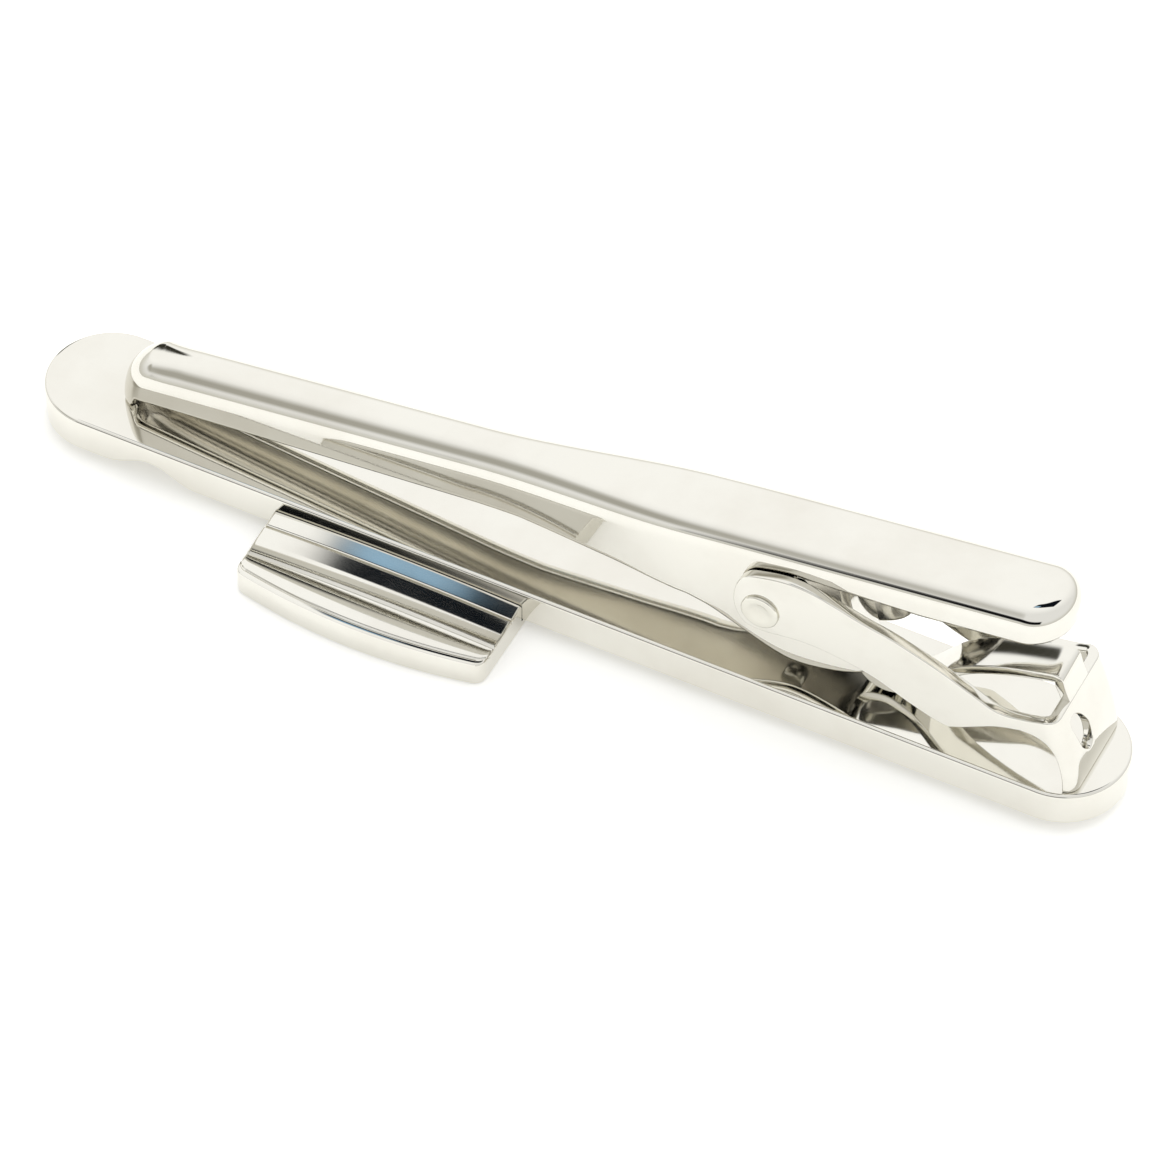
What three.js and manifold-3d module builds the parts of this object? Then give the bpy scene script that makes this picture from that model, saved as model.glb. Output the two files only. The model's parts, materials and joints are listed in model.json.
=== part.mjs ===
// A tie clip: a rounded bar with a plaque on its front, and a sprung arm on its back that pinches
// the tie against it. Millimetres, +Z up. The clip lies on the plaque's front face, as it does on a
// table, so the bar's back face and the arm look up. X runs along the bar, from jaw to bracket.
import * as THREE from "three";
import { mergeVertices } from "three/addons/utils/BufferGeometryUtils.js";
import Module from "manifold-3d";

const wasm = await Module();
wasm.setup();

// Bar: a flat strip with round ends
const BAR_LENGTH = 60;
const BAR_WIDTH = 6.8;
const BAR_THICKNESS = 2.05;
const EDGE_BREAK = 0.17; // small rounding polished onto the bar's and the plaque's edges
const WAIST_FROM_END = 7.5; // a shallow scoop across the front, near the jaw end
const WAIST_LENGTH = 5.2;
const WAIST_DEPTH = 0.85;

// Plaque: a cast plate that hangs below the bar's near edge, with a channel for the bar
const PLAQUE_LENGTH = 14;
const PLAQUE_CENTRE_X = -8.3; // from the middle of the bar
const PLAQUE_NEAR = 4.25; // how far its corners stand out past the bar on each side
const PLAQUE_FAR = 0.9;
const PLAQUE_BOW = 0.85; // how much further the near edge bows out in the middle
const PLAQUE_FACE = 0.55; // metal left in front of the bar
const PLAQUE_SIDE = 1.3; // how much of the bar's thickness the channel takes in
const PLAQUE_CORNER = 0.6;
const SOLDER_GAP = 0.03;
const LINE_WIDTH = 0.22; // the lines cut along the plaque's back
const LINE_DEPTH = 0.18;
const LINE_OFFSETS = [1.1, 2.9]; // from the bar's near edge

// Bracket: one folded sheet, a leaning rear wall with an arm down each side
const SHEET = 0.55;
const BRACKET_INSET = 1.55; // from the bar's end to the wall's outer face
const BRACKET_HALF_WIDTH = 2.9;
const BRACKET_CORNER = 0.75;
const WALL_LEAN = 0.5; // forward travel for each millimetre up, once the lean has set in
const LEAN_SETS_IN = 3; // height over which the wall turns from upright to leaning
const WALL_HEIGHT = 4.45;
const PIVOT_REACH = 17.05; // from the wall's foot back to the pivot
const PIVOT_HEIGHT = 4.75;
const LOBE_RADIUS = 1.45;
const FOOT_WEB = 0.1; // how much of each side reaches the bar, behind its arch
const FILLET_REACH = 0.12; // the solder along the wall's foot
const FILLET_HEIGHT = 0.5;
const WALL_HOLE_UP = 2.6; // from the bar to the hole's middle
const WALL_HOLE_ASIDE = 0.9; // from the bracket's middle, towards the near side
const WALL_HOLE_HEIGHT = 2.5;
const WALL_HOLE_WIDTH = 1.5;

// Tongue: the spring cut from the middle of the same sheet
const TONGUE_HALF_WIDTH = 1.05;
const SLIT = 0.1;
const SHOULDER_HEIGHT = 5.95;
const TONGUE_CLEARANCE = 0.12; // above the bar, and under the arm

// Arm: a pressed channel with closed round ends and an ear on each side at the pivot
const ARM_SHEET = 0.5;
const ARM_REACH = 37; // pivot to jaw tip
const TAIL_REACH = 15.25; // pivot to tail end
const JAW_HALF_WIDTH = 1.55;
const ARM_SIDE_CLEARANCE = 0.1; // between the ears and the bracket
const CROWN_ABOVE_PIVOT = 3.86;
const ARM_SLOPE = 0.144; // rise of the crown for each millimetre along the arm
const JAW_TOP_RADIUS = 1.4;
const JAW_SET_BACK = 0.9; // how far the crown stops short of the lip at the jaw's rounded end
const JAW_SET_BACK_LENGTH = 4;
const TAIL_TOP_RADIUS = 1.0;
const JAW_END_LENGTH = 1.5; // how much of each end is rounded, seen from above
const TAIL_END_LENGTH = 2.0;
const FLARE_LENGTH = 12.4; // over which the jaw widens to the ears
const FLARE_END = 4.6; // ahead of the pivot
const WALL_FOOT_AT_JAW = 0.95; // height of the channel's open edge over the bar
const WALL_FOOT_SLOPE = 0.094;
const WALL_FOOT_BELOW_PIVOT = 1.63; // the most that the open edge climbs to, ahead of the ears
const TAIL_DEPTH = 1.95;
const TAIL_DIP_END = 8; // past the pivot, where the tail's walls reach their shallowest
const TAIL_DIP_SLOPE = 0.06;
const JAW_LIP_GAP = 0.05; // the lip all but touches the bar
const LIP_LENGTH = 0.75;
const LIP_NOTCHES = 3;
const LIP_NOTCH_PITCH = 0.62;
const LIP_NOTCH_WIDTH = 0.4;
const LIP_NOTCH_DEPTH = 0.3;
const EAR_SET_IN = 0.08;
const EAR_TOP_DROP = 1.2; // from the crown to the ear's top, inside the wall
const EAR_FRONT = 4.3; // ahead of the pivot

// Rivets: one through each ear
const RIVET_SHANK_RADIUS = 0.6;
const RIVET_RUNNING_GAP = 0.04;
const RIVET_HEAD_RADIUS = 1.0;
const RIVET_HEAD_HEIGHT = 0.16;
const RIVET_DIMPLE_RADIUS = 0.5;
const RIVET_DIMPLE_DEPTH = 0.1;

// Worked out from the sizes above
const footX = BAR_LENGTH / 2 - BRACKET_INSET;
const pivotX = footX - PIVOT_REACH;
const pivotZ = PIVOT_HEIGHT;
const bracketInner = BRACKET_HALF_WIDTH - SHEET;
const armHalfWidth = bracketInner - ARM_SIDE_CLEARANCE;
const jawX = pivotX - ARM_REACH;
const tailX = pivotX + TAIL_REACH;
const plaqueFront = -BAR_THICKNESS - SOLDER_GAP - PLAQUE_FACE;
const plaqueBack = -BAR_THICKNESS + PLAQUE_SIDE;

// ---- solids ----

function solidOf(geometry) {
  const bare = geometry.index ? geometry.toNonIndexed() : geometry.clone();
  bare.deleteAttribute("normal");
  bare.deleteAttribute("uv");
  const merged = mergeVertices(bare, 1e-4);
  return new wasm.Manifold(
    new wasm.Mesh({
      numProp: 3,
      vertProperties: merged.attributes.position.array,
      triVerts: new Uint32Array(merged.index.array),
    }),
  );
}

function geometryOf(solid) {
  const mesh = solid.getMesh();
  return new THREE.BufferGeometry()
    .setAttribute("position", new THREE.BufferAttribute(mesh.vertProperties, 3))
    .setIndex(new THREE.BufferAttribute(mesh.triVerts, 1));
}

// A side-view outline, given as X and Z, made solid from one Y to another. A spline through points
// gets curveSegments steps between each two of them.
function sidePlate(shape, fromY, toY, curveSegments = 3) {
  const plate = new THREE.ExtrudeGeometry(shape, {
    depth: toY - fromY,
    bevelEnabled: false,
    curveSegments,
  });
  return plate.rotateX(Math.PI / 2).translate(0, toY, 0);
}

function block(fromX, toX, fromY, toY, fromZ, toZ) {
  return new THREE.BoxGeometry(toX - fromX, toY - fromY, toZ - fromZ).translate(
    (fromX + toX) / 2,
    (fromY + toY) / 2,
    (fromZ + toZ) / 2,
  );
}

// A cylinder along Y, centred on y = 0.
function crossPin(radius, length, x, z) {
  return new THREE.CylinderGeometry(radius, radius, length, 24).translate(x, 0, z);
}

function outlineOf(points) {
  return new THREE.Shape(points.map(([x, y]) => new THREE.Vector2(x, y)));
}

// ---- bar ----

function barGeometry() {
  const round = BAR_WIDTH / 2 - EDGE_BREAK;
  const straight = (BAR_LENGTH - BAR_WIDTH) / 2;
  const shape = new THREE.Shape();
  shape.absarc(straight, 0, round, -Math.PI / 2, Math.PI / 2, false);
  shape.absarc(-straight, 0, round, Math.PI / 2, (3 * Math.PI) / 2, false);
  const strip = new THREE.ExtrudeGeometry(shape, {
    depth: BAR_THICKNESS - 2 * EDGE_BREAK,
    bevelThickness: EDGE_BREAK,
    bevelSize: EDGE_BREAK,
    bevelSegments: 2,
    curveSegments: 20,
  }).translate(0, 0, -BAR_THICKNESS + EDGE_BREAK);

  // One smooth wave, cut right across the front
  const steps = 20;
  const start = -BAR_LENGTH / 2 + WAIST_FROM_END - WAIST_LENGTH / 2;
  const wave = [[start, -BAR_THICKNESS - 1]];
  for (let i = 0; i <= steps; i++) {
    const rise = (1 - Math.cos((2 * Math.PI * i) / steps)) / 2;
    const x = start + (WAIST_LENGTH * i) / steps;
    wave.push([x, -BAR_THICKNESS - 0.001 + WAIST_DEPTH * rise]);
  }
  wave.push([start + WAIST_LENGTH, -BAR_THICKNESS - 1]);
  const scoop = sidePlate(outlineOf(wave), -BAR_WIDTH, BAR_WIDTH);
  return geometryOf(solidOf(strip).subtract(solidOf(scoop)));
}

// ---- plaque ----

function plaqueGeometry() {
  const halfLength = PLAQUE_LENGTH / 2 - EDGE_BREAK;
  const near = -BAR_WIDTH / 2 - PLAQUE_NEAR + EDGE_BREAK;
  const far = BAR_WIDTH / 2 + PLAQUE_FAR - EDGE_BREAK;
  const farCorner = Math.min(PLAQUE_CORNER, PLAQUE_FAR);
  const bowTop = near - 2 * PLAQUE_BOW;
  const cornerX = halfLength - PLAQUE_CORNER;
  const cornerY = near + ((bowTop - near) * PLAQUE_CORNER) / halfLength;
  const shape = new THREE.Shape();
  shape.moveTo(-halfLength, near + PLAQUE_CORNER);
  shape.quadraticCurveTo(-halfLength, near, -cornerX, cornerY);
  shape.quadraticCurveTo(0, bowTop, cornerX, cornerY);
  shape.quadraticCurveTo(halfLength, near, halfLength, near + PLAQUE_CORNER);
  shape.lineTo(halfLength, far - farCorner);
  shape.quadraticCurveTo(halfLength, far, halfLength - farCorner, far);
  shape.lineTo(-halfLength + farCorner, far);
  shape.quadraticCurveTo(-halfLength, far, -halfLength, far - farCorner);
  const plate = new THREE.ExtrudeGeometry(shape, {
    depth: plaqueBack - plaqueFront - 2 * EDGE_BREAK,
    bevelThickness: EDGE_BREAK,
    bevelSize: EDGE_BREAK,
    bevelSegments: 2,
    curveSegments: 8,
  }).translate(0, 0, plaqueFront + EDGE_BREAK);

  const reach = PLAQUE_LENGTH;
  const channelHalf = BAR_WIDTH / 2 + SOLDER_GAP;
  const channelFloor = -BAR_THICKNESS - SOLDER_GAP;
  const channel = block(-reach, reach, -channelHalf, channelHalf, channelFloor, 1);
  let solid = solidOf(plate).subtract(solidOf(channel));
  for (const offset of LINE_OFFSETS) {
    const y = -BAR_WIDTH / 2 - offset;
    const line = block(-reach, reach, y - LINE_WIDTH, y, plaqueBack - LINE_DEPTH, 1);
    solid = solid.subtract(solidOf(line));
  }
  return geometryOf(solid).translate(PLAQUE_CENTRE_X, 0, 0);
}

// ---- bracket ----

// How far the rear wall has moved forwards at a height above the bar.
function leanAt(z) {
  const up = Math.max(z, 0);
  return (WALL_LEAN * up * up) / (up + LEAN_SETS_IN);
}

function lean(geometry) {
  const place = geometry.attributes.position;
  for (let i = 0; i < place.count; i++) place.setX(i, place.getX(i) - leanAt(place.getZ(i)));
  return geometry;
}

// The folded sheet seen from above: the wall across the end and a long arm down each side.
function foldedSheet() {
  const legs = PIVOT_REACH + 4;
  const fold = (half, corner, x, from) => {
    const shape = new THREE.Shape();
    shape.moveTo(from, -half);
    shape.lineTo(x - corner, -half);
    shape.absarc(x - corner, -half + corner, corner, -Math.PI / 2, 0, false);
    shape.absarc(x - corner, half - corner, corner, 0, Math.PI / 2, false);
    shape.lineTo(from, half);
    return new THREE.ExtrudeGeometry(shape, {
      depth: 2 * PIVOT_HEIGHT,
      steps: 24,
      bevelEnabled: false,
      curveSegments: 8,
    });
  };
  const outer = fold(BRACKET_HALF_WIDTH, BRACKET_CORNER, footX, footX - legs);
  const inner = fold(bracketInner, BRACKET_CORNER - SHEET, footX - SHEET, footX - 2 * legs);
  lean(outer.translate(0, 0, SOLDER_GAP));
  lean(inner.translate(0, 0, -SHEET));
  return solidOf(outer).subtract(solidOf(inner));
}

// The bracket seen from the side. A place on an arm is its share of the way from the pivot to the
// wall's foot, and its height above the pivot.
function bracketSide() {
  const onArm = ([share, rise]) => new THREE.Vector2(pivotX + share * PIVOT_REACH, pivotZ + rise);
  const onLobe = ([x, rise]) => new THREE.Vector2(pivotX + x * LOBE_RADIUS, pivotZ + rise * LOBE_RADIUS);
  const wallTopX = footX - leanAt(WALL_HEIGHT);
  const dip = new THREE.Vector2(pivotX + 0.83 * PIVOT_REACH, 0.93 * WALL_HEIGHT);
  const shape = new THREE.Shape();
  shape.moveTo(footX + FILLET_REACH, 0);
  shape.lineTo(footX + FILLET_REACH, WALL_HEIGHT);
  shape.lineTo(wallTopX - SHEET, WALL_HEIGHT);
  const topEdge = [
    [0.745, -0.78],
    [0.655, -0.15],
    [0.557, 0.6],
    [0.416, 1.45],
    [0.317, 1.83],
    [0.235, 2.25],
    [0.152, 2.6],
    [0.076, 2.65],
  ].map(onArm);
  const lobe = [
    [-0.07, 1.62],
    [-0.62, 1.38],
    [-0.94, 0.83],
    [-1, 0],
    [-0.66, -0.76],
    [0.04, -0.95],
  ].map(onLobe);
  const lowerEdge = [
    [0.161, -1.09],
    [0.34, -1.56],
    [0.481, -2.55],
    [0.581, -3.13],
    [0.628, -2.95],
    [0.739, -1.9],
    [0.81, -1.5],
  ].map(onArm);
  shape.splineThru([dip, ...topEdge, ...lobe, ...lowerEdge]);
  const inWall = (z) => footX - SHEET - FOOT_WEB - leanAt(z);
  const archZ = 0.74 * WALL_HEIGHT;
  const shoulderZ = 0.4 * WALL_HEIGHT;
  shape.lineTo(inWall(archZ) - 1.2, archZ);
  shape.quadraticCurveTo(inWall(archZ) + SHEET / 2, archZ, inWall(shoulderZ), shoulderZ);
  shape.lineTo(inWall(shoulderZ / 2), shoulderZ / 2);
  shape.lineTo(inWall(0), 0);
  return sidePlate(shape, -2 * BRACKET_HALF_WIDTH, 2 * BRACKET_HALF_WIDTH);
}

// A slanted drop-shaped hole through the rear wall: places are shares of its width and height.
function wallHole() {
  const shape = new THREE.Shape();
  const at = (x, y) => new THREE.Vector2(x * WALL_HOLE_WIDTH, y * WALL_HOLE_HEIGHT);
  shape.moveTo(-0.5 * WALL_HOLE_WIDTH, 0.27 * WALL_HOLE_HEIGHT);
  shape.splineThru([
    at(-0.45, 0.47),
    at(-0.2, 0.47),
    at(0.34, 0.17),
    at(0.5, -0.08),
    at(0.42, -0.4),
    at(0.08, -0.5),
    at(-0.31, -0.22),
    at(-0.5, 0.27),
  ]);
  return new THREE.ExtrudeGeometry(shape, { depth: 4, bevelEnabled: false, curveSegments: 4 })
    .rotateX(Math.PI / 2)
    .rotateZ(Math.PI / 2)
    .translate(footX - 3, -WALL_HOLE_ASIDE, WALL_HOLE_UP);
}

// The bead of solder along the rear of the wall's foot.
function footFillet() {
  const onWall = (z) => footX - leanAt(z);
  const shape = new THREE.Shape();
  shape.moveTo(onWall(0) - SHEET / 2, SOLDER_GAP);
  shape.lineTo(footX + FILLET_REACH, SOLDER_GAP);
  shape.quadraticCurveTo(
    onWall(FILLET_HEIGHT / 3),
    FILLET_HEIGHT / 3,
    onWall(FILLET_HEIGHT) - 0.01,
    FILLET_HEIGHT,
  );
  shape.lineTo(onWall(FILLET_HEIGHT) - SHEET / 2, FILLET_HEIGHT);
  const half = BRACKET_HALF_WIDTH - BRACKET_CORNER;
  return sidePlate(shape, -half, half);
}

function bracketGeometry() {
  const rivetHole = crossPin(
    RIVET_SHANK_RADIUS + RIVET_RUNNING_GAP,
    4 * BRACKET_HALF_WIDTH,
    pivotX,
    pivotZ,
  );
  const solid = foldedSheet()
    .intersect(solidOf(bracketSide()))
    .add(solidOf(footFillet()))
    .subtract(solidOf(rivetHole))
    .subtract(solidOf(wallHole()));
  return geometryOf(solid);
}

// ---- tongue ----

// A sheet of even thickness along a side-view line: each point is pushed out along the normal.
function stripAlong(curve, thickness, steps) {
  const outer = [];
  const inner = [];
  for (let i = 0; i <= steps; i++) {
    const p = curve.getPointAt(i / steps);
    const t = curve.getTangentAt(i / steps);
    outer.push([p.x - (t.y * thickness) / 2, p.y + (t.x * thickness) / 2]);
    inner.push([p.x + (t.y * thickness) / 2, p.y - (t.x * thickness) / 2]);
  }
  return outlineOf(outer.concat(inner.reverse()));
}

function tongueGeometry() {
  const t = SHEET;
  const wallX = footX - t / 2;
  const rootZ = WALL_HEIGHT + SLIT;
  const low = SOLDER_GAP + TONGUE_CLEARANCE + t / 2;
  const arch = crownZ(pivotX + 3.4) - ARM_SHEET - t / 2 - TONGUE_CLEARANCE;
  const fromWall = (share, height) => [footX - share * PIVOT_REACH, height];
  const line = new THREE.SplineCurve(
    [
      [wallX - leanAt(rootZ), rootZ],
      [wallX - leanAt(0.91 * SHOULDER_HEIGHT), 0.91 * SHOULDER_HEIGHT],
      fromWall(0.115, 0.963 * SHOULDER_HEIGHT),
      fromWall(0.168, 0.924 * SHOULDER_HEIGHT),
      fromWall(0.306, 0.79 * SHOULDER_HEIGHT),
      fromWall(0.426, 0.597 * SHOULDER_HEIGHT),
      fromWall(0.5285, 0.26 * SHOULDER_HEIGHT),
      fromWall(0.589, low + 0.35),
      fromWall(0.649, low),
      fromWall(0.715, low + 0.7),
      [pivotX + 4.1, pivotZ - 1],
      [pivotX + 3.5, pivotZ + 1.6],
      [pivotX + 3.1, arch - 0.5],
      [pivotX + 2.5, arch - 0.05],
      [pivotX + 1.8, arch - 0.5],
    ].map(([x, z]) => new THREE.Vector2(x, z)),
  );
  return sidePlate(stripAlong(line, t, 48), -TONGUE_HALF_WIDTH, TONGUE_HALF_WIDTH);
}

// ---- arm ----

function crownZ(x) {
  return pivotZ + CROWN_ABOVE_PIVOT + ARM_SLOPE * (x - pivotX);
}

function blend(x, from, to) {
  return THREE.MathUtils.smoothstep(x, from, to);
}

function halfWidthAt(x) {
  const flare = blend(x, pivotX - FLARE_END - FLARE_LENGTH, pivotX - FLARE_END);
  return JAW_HALF_WIDTH + (armHalfWidth - JAW_HALF_WIDTH) * flare;
}

function topRadiusAt(x) {
  const squarer = blend(x, pivotX - FLARE_END - FLARE_LENGTH, pivotX);
  return JAW_TOP_RADIUS + (TAIL_TOP_RADIUS - JAW_TOP_RADIUS) * squarer;
}

// The lower edge of the channel's walls: a lip at the jaw tip, a long slope, then the shallow tail.
function wallFootZ(x) {
  const slope = WALL_FOOT_AT_JAW + WALL_FOOT_SLOPE * (x - jawX);
  const level = Math.min(slope, pivotZ - WALL_FOOT_BELOW_PIVOT);
  const lip = 1 - blend(x, jawX + LIP_LENGTH, jawX + LIP_LENGTH + 0.35);
  const jaw = level + (JAW_LIP_GAP - level) * lip;
  const dip = Math.max(0, TAIL_DIP_SLOPE * (pivotX + TAIL_DIP_END - x));
  const tail = crownZ(x) - TAIL_DEPTH + dip;
  return jaw + (tail - jaw) * blend(x, pivotX - 3.2, pivotX + 0.9);
}

// The arm seen from above, as a loop that starts at the tail's tip and goes round by the near side.
function armOutline() {
  const quarter = 6;
  const near = [];
  for (let i = 0; i < quarter; i++) {
    const a = (i / quarter) * (Math.PI / 2);
    const x = tailX - TAIL_END_LENGTH * (1 - Math.cos(a));
    near.push([x, -halfWidthAt(x) * Math.sin(a)]);
  }
  const from = tailX - TAIL_END_LENGTH;
  const to = jawX + JAW_END_LENGTH;
  const steps = 40;
  for (let i = 0; i <= steps; i++) {
    const x = from + ((to - from) * i) / steps;
    near.push([x, -halfWidthAt(x)]);
  }
  for (let i = quarter - 1; i >= 0; i--) {
    const a = (i / quarter) * (Math.PI / 2);
    const x = jawX + JAW_END_LENGTH * (1 - Math.cos(a));
    near.push([x, -halfWidthAt(x) * Math.sin(a)]);
  }
  const far = near.slice(1, -1).reverse();
  return near.concat(far.map(([x, y]) => [x, -y]));
}

// The loop moved inwards. It runs clockwise seen from above, so outwards is to its left.
function inset(loop, distances) {
  const count = loop.length;
  return loop.map(([x, y], i) => {
    const [ax, ay] = loop[(i + count - 1) % count];
    const [bx, by] = loop[(i + 1) % count];
    const share = distances[i] / Math.hypot(bx - ax, by - ay);
    return [x + (by - ay) * share, y - (bx - ax) * share];
  });
}

// The jaw's end wall leans back: the higher a point, the further it moves from the lip.
function setBackAt(x, z) {
  const up = THREE.MathUtils.clamp(z / crownZ(jawX), 0, 1);
  return JAW_SET_BACK * up * up * (1 - blend(x, jawX, jawX + JAW_SET_BACK_LENGTH));
}

// One skin of the channel as rings of points, from the wall's foot up to the flat of the top.
function channelRings(setIn) {
  const outline = armOutline();
  const bends = [0, 22.5, 45, 67.5, 90];
  const rings = [];
  const foot = inset(outline, outline.map(() => setIn));
  rings.push(foot.map(([x, y], i) => [x, y, wallFootZ(outline[i][0])]));
  for (const bend of bends) {
    const angle = THREE.MathUtils.degToRad(bend);
    const distances = outline.map(([x]) => {
      const radius = Math.max(topRadiusAt(x) - setIn, 0.2);
      return setIn + radius * (1 - Math.cos(angle));
    });
    const ring = inset(outline, distances).map(([x, y], i) => {
      const radius = Math.max(topRadiusAt(outline[i][0]) - setIn, 0.2);
      return [x, y, crownZ(x) - setIn - radius * (1 - Math.sin(angle))];
    });
    rings.push(ring);
  }
  return rings.map((ring) => ring.map(([x, y, z]) => [x + setBackAt(x, z), y, z]));
}

function channelGeometry() {
  const skins = [channelRings(0), channelRings(ARM_SHEET)];
  const count = skins[0][0].length;
  const points = [];
  const faces = [];
  const quad = (a, b, c, d) => faces.push(a, c, b, a, d, c);
  skins.forEach((rings, skin) => {
    const base = points.length;
    rings.forEach((ring) => points.push(...ring));
    const index = (ring, i) => base + ring * count + (i % count);
    const wind = (a, b, c, d) => (skin === 0 ? quad(a, b, c, d) : quad(d, c, b, a));
    for (let r = 0; r + 1 < rings.length; r++)
      for (let i = 0; i < count; i++)
        wind(index(r, i), index(r, i + 1), index(r + 1, i + 1), index(r + 1, i));
    const top = rings.length - 1;
    for (let i = 1; i + 1 < count / 2; i++)
      wind(index(top, i), index(top, i + 1), index(top, count - i - 1), index(top, count - i));
    const tips = [
      [count - 1, 0, 1],
      [count / 2 - 1, count / 2, count / 2 + 1],
    ];
    for (const tip of tips) {
      const [a, b, c] = tip.map((i) => index(top, i));
      faces.push(...(skin === 0 ? [a, c, b] : [a, b, c]));
    }
  });
  const innerBase = skins[0].length * count;
  for (let i = 0; i < count; i++) {
    const j = (i + 1) % count;
    quad(i, innerBase + i, innerBase + j, j);
  }
  const geometry = new THREE.BufferGeometry()
    .setAttribute("position", new THREE.Float32BufferAttribute(points.flat(), 3))
    .setIndex(faces);
  return geometry;
}

// An ear seen from the side: it drops from the wall and carries the rivet. Places are from the pivot.
function earShape() {
  const top = CROWN_ABOVE_PIVOT - EAR_TOP_DROP;
  const at = ([x, rise]) => new THREE.Vector2(pivotX + x, pivotZ + rise);
  const frontX = pivotX - EAR_FRONT;
  const shape = new THREE.Shape();
  shape.moveTo(frontX, wallFootZ(frontX) + ARM_SHEET);
  shape.lineTo(frontX, wallFootZ(frontX) + 0.02);
  shape.splineThru(
    [
      [-3.2, -1.9],
      [-2.0, -2.45],
      [0.5, -3.45],
      [2.0, -3.63],
      [4.1, -3.15],
      [5.5, -2.4],
      [6.1, -1.35],
      [5.4, -0.05],
      [3.2, 1.15],
      [1.2, top - 0.6],
      [0.6, top],
    ].map(at),
  );
  shape.lineTo(pivotX - 1.5, pivotZ + top);
  return shape;
}

function armGeometry() {
  const outer = armHalfWidth - EAR_SET_IN;
  const inner = outer - ARM_SHEET;
  let solid = solidOf(channelGeometry())
    .add(solidOf(sidePlate(earShape(), -outer, -inner)))
    .add(solidOf(sidePlate(earShape(), inner, outer)));
  const hole = crossPin(
    RIVET_SHANK_RADIUS + RIVET_RUNNING_GAP,
    4 * armHalfWidth,
    pivotX,
    pivotZ,
  );
  solid = solid.subtract(solidOf(hole));
  for (let i = 0; i < LIP_NOTCHES; i++) {
    const y = (i - (LIP_NOTCHES - 1) / 2) * LIP_NOTCH_PITCH;
    const notch = outlineOf([
      [y - LIP_NOTCH_WIDTH / 2, -1],
      [y + LIP_NOTCH_WIDTH / 2, -1],
      [y, JAW_LIP_GAP + LIP_NOTCH_DEPTH],
    ]);
    const wedge = new THREE.ExtrudeGeometry(notch, { depth: 2, bevelEnabled: false })
      .rotateX(Math.PI / 2)
      .rotateZ(Math.PI / 2)
      .translate(jawX - 1, 0, 0);
    solid = solid.subtract(solidOf(wedge));
  }
  return geometryOf(solid);
}

// ---- rivets ----

// A turned rivet along +Y, with its head outermost and a dimple in the head.
function rivetGeometry() {
  const tip = armHalfWidth - EAR_SET_IN - ARM_SHEET - 0.35;
  const seat = BRACKET_HALF_WIDTH + 0.01;
  const head = seat + RIVET_HEAD_HEIGHT;
  const profile = [
    [0, tip],
    [RIVET_SHANK_RADIUS - 0.1, tip],
    [RIVET_SHANK_RADIUS, tip + 0.1],
    [RIVET_SHANK_RADIUS, seat],
    [RIVET_HEAD_RADIUS, seat],
    [RIVET_HEAD_RADIUS, head - 0.06],
    [RIVET_HEAD_RADIUS - 0.08, head],
    [RIVET_DIMPLE_RADIUS + 0.08, head],
    [RIVET_DIMPLE_RADIUS * 0.6, head - RIVET_DIMPLE_DEPTH * 0.8],
    [0, head - RIVET_DIMPLE_DEPTH],
  ].map(([r, y]) => new THREE.Vector2(r, y));
  return new THREE.LatheGeometry(profile, 24);
}

// ---- the clip ----

const polished = { color: 0xd9d9d2, roughness: 0.08, metalness: 1 };
const finishes = {
  bar: polished,
  front_plaque: polished,
  pivot_bracket: { color: 0xd2d2cc, roughness: 0.12, metalness: 1 },
  spring_tongue: { color: 0xcfcfc8, roughness: 0.14, metalness: 1 },
  clip_arm: { color: 0xdcdcd6, roughness: 0.08, metalness: 1 },
  rivet: { color: 0xc8c8c2, roughness: 0.18, metalness: 1 },
};

const clip = new THREE.Group();

function place(name, geometry, finish) {
  const mesh = new THREE.Mesh(geometry, new THREE.MeshStandardMaterial(finish));
  mesh.name = name;
  clip.add(mesh);
  return mesh;
}

place("bar", barGeometry(), finishes.bar);
place("front_plaque", plaqueGeometry(), finishes.front_plaque);
place("pivot_bracket", bracketGeometry(), finishes.pivot_bracket);
place("spring_tongue", tongueGeometry(), finishes.spring_tongue);
place("clip_arm", armGeometry(), finishes.clip_arm);
const farRivet = place("rivet_far", rivetGeometry(), finishes.rivet);
farRivet.position.set(pivotX, 0, pivotZ);
const nearRivet = place("rivet_near", rivetGeometry(), finishes.rivet);
nearRivet.position.set(pivotX, 0, pivotZ);
nearRivet.rotation.z = Math.PI;

// The part's origin is on the plaque's front face, in the plaque's middle along the bar.
clip.position.set(-PLAQUE_CENTRE_X, 0, -plaqueFront);

export default clip;
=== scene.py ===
# The looks of a sprung tie clip: a polished bar, a bowed plaque on its front, and on its back a
# folded bracket whose spring tongue works a pressed channel arm. Lengths here are in millimetres,
# measured from the middle of the bar's back face: X runs from the jaw to the bracket, Z is up.
import json
import math

import bmesh
import bpy
from mathutils import Matrix, Vector
from mathutils.geometry import delaunay_2d_cdt


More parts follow.
